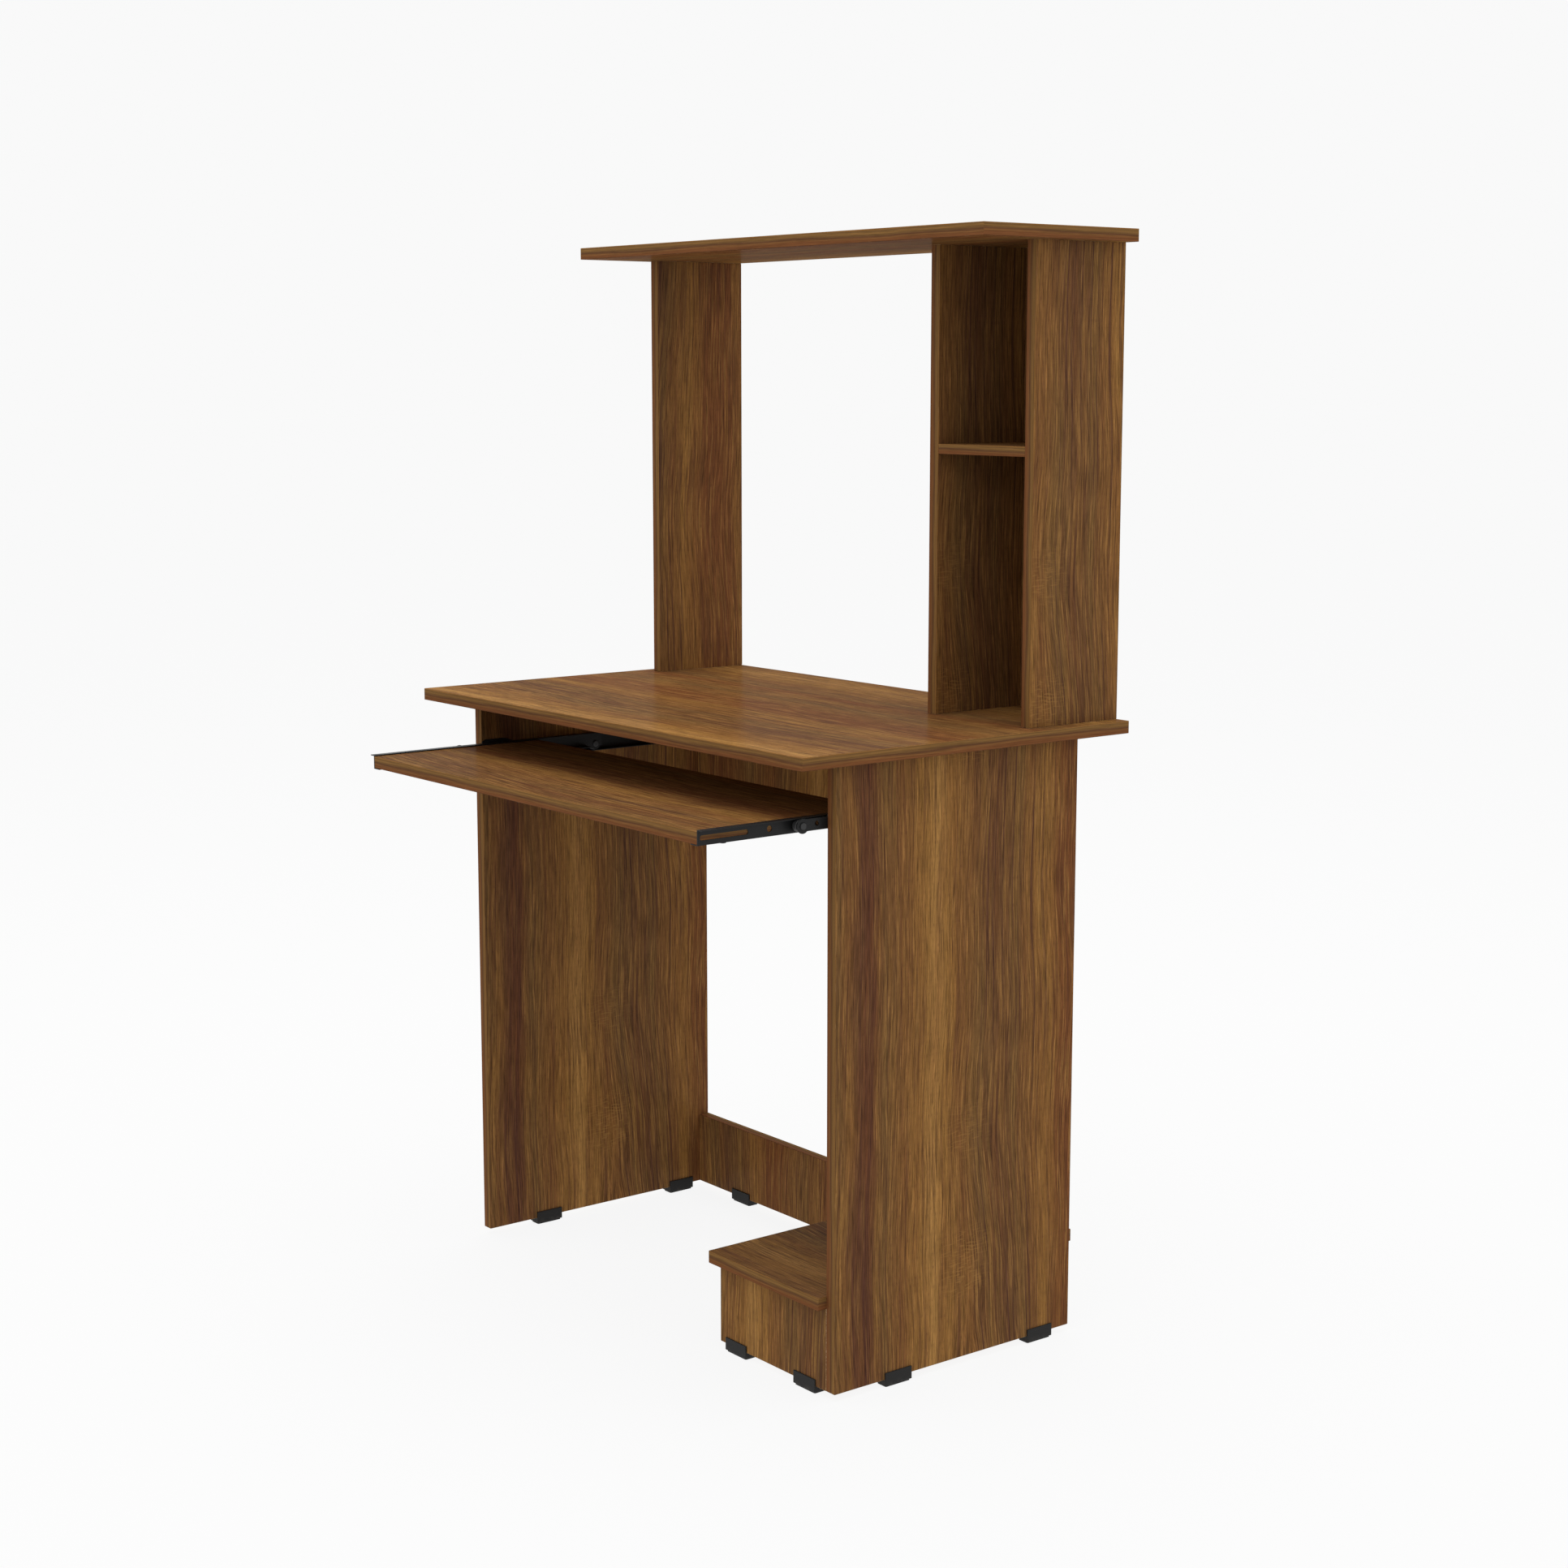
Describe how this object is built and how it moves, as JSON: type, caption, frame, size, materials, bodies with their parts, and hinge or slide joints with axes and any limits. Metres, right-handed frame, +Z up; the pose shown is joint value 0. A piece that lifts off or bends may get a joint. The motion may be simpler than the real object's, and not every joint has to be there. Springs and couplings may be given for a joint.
{
  "type": "computer desk with keyboard tray",
  "caption": "Upright wooden computer desk with an open divided hutch, a keyboard tray on roller slides, and a raised floor shelf for a computer tower.",
  "frame": {"origin": "on the floor, under the middle of the desk's footprint with its tray drawn half out", "axes": "+X to the sitter's right, +Y from the sitter towards the back of the desk, +Z up"},
  "size_m": [0.8, 0.601, 1.326],
  "materials": {
    "oak_board": "warm brown oak-figured melamine on chipboard, satin, with matching edge banding",
    "slide_steel": "black epoxy-coated rolled steel",
    "roller_nylon": "dark moulded nylon",
    "glide_plastic": "black moulded plastic, lightly textured",
    "fastener_black": "zinc plate passivated black, on the slides' rivets and screws",
    "fastener_zinc": "bright zinc plate",
    "dowel_beech": "bare fluted beech"
  },
  "bodies": {
    "frame": {"desktop": "oak_board", "left_side_panel": "oak_board", "right_side_panel": "oak_board", "modesty_panel": "oak_board", "back_stretcher": "oak_board", "tower_shelf": "oak_board", "tower_plinth": "oak_board", "hutch_left_upright": "oak_board", "hutch_divider": "oak_board", "hutch_right_upright": "oak_board", "middle_shelf": "oak_board", "top_shelf": "oak_board", "bay_back": "oak_board", "left_cabinet_rail": "slide_steel", "right_cabinet_rail": "slide_steel", "left_front_roller_rivet": "fastener_black", "right_front_roller_rivet": "fastener_black", "left_cabinet_rail_screw_1": "fastener_black", "left_cabinet_rail_screw_2": "fastener_black", "right_cabinet_rail_screw_1": "fastener_black", "right_cabinet_rail_screw_2": "fastener_black", "left_cam": "fastener_zinc", "right_cam": "fastener_zinc", "left_cam_bolt": "fastener_zinc", "right_cam_bolt": "fastener_zinc", "hutch_left_upright_screw": "fastener_zinc", "hutch_divider_screw": "fastener_zinc", "hutch_right_upright_screw": "fastener_zinc", "left_modesty_dowel": "dowel_beech", "right_modesty_dowel": "dowel_beech", "left_stretcher_dowel": "dowel_beech", "right_stretcher_dowel": "dowel_beech", "tower_shelf_dowel": "dowel_beech", "plinth_dowel": "dowel_beech", "hutch_left_upright_dowel": "dowel_beech", "hutch_divider_dowel": "dowel_beech", "hutch_right_upright_dowel": "dowel_beech", "middle_shelf_left_dowel": "dowel_beech", "middle_shelf_right_dowel": "dowel_beech", "left_panel_front_glide": "glide_plastic", "left_panel_rear_glide": "glide_plastic", "right_panel_front_glide": "glide_plastic", "right_panel_rear_glide": "glide_plastic", "plinth_left_glide": "glide_plastic", "plinth_right_glide": "glide_plastic", "stretcher_left_glide": "glide_plastic", "stretcher_right_glide": "glide_plastic"},
    "tray": {"keyboard_tray": "oak_board", "left_tray_rail": "slide_steel", "right_tray_rail": "slide_steel", "left_rear_roller_rivet": "fastener_black", "right_rear_roller_rivet": "fastener_black", "left_tray_rail_screw_1": "fastener_black", "left_tray_rail_screw_2": "fastener_black", "right_tray_rail_screw_1": "fastener_black", "right_tray_rail_screw_2": "fastener_black"},
    "left_front_roller": {"left_front_roller": "roller_nylon"},
    "right_front_roller": {"right_front_roller": "roller_nylon"},
    "left_rear_roller": {"left_rear_roller": "roller_nylon"},
    "right_rear_roller": {"right_rear_roller": "roller_nylon"}
  },
  "joints": [
    {"name": "tray_slide", "type": "slide", "parent": "frame", "child": "tray", "axis": [0, -1, 0], "range_m": [-0.126, 0.138]},
    {"name": "left_front_roller_spin", "type": "hinge", "parent": "frame", "child": "left_front_roller", "pos_m": [-0.35675, -0.1665, 0.6695], "axis": [1, 0, 0], "range_deg": [-1005, 1101]},
    {"name": "right_front_roller_spin", "type": "hinge", "parent": "frame", "child": "right_front_roller", "pos_m": [0.35675, -0.1665, 0.6695], "axis": [1, 0, 0], "range_deg": [-1005, 1101]},
    {"name": "left_rear_roller_spin", "type": "hinge", "parent": "tray", "child": "left_rear_roller", "pos_m": [-0.35675, 0.0395, 0.6638], "axis": [1, 0, 0], "range_deg": [-805, 881]},
    {"name": "right_rear_roller_spin", "type": "hinge", "parent": "tray", "child": "right_rear_roller", "pos_m": [0.35675, 0.0395, 0.6638], "axis": [1, 0, 0], "range_deg": [-805, 881]}
  ],
  "couplings": [
    {"joint": "left_front_roller_spin", "follows": "tray_slide", "rad_per_m": 138.89},
    {"joint": "right_front_roller_spin", "follows": "tray_slide", "rad_per_m": 138.89},
    {"joint": "left_rear_roller_spin", "follows": "tray_slide", "rad_per_m": 111.11},
    {"joint": "right_rear_roller_spin", "follows": "tray_slide", "rad_per_m": 111.11}
  ]
}
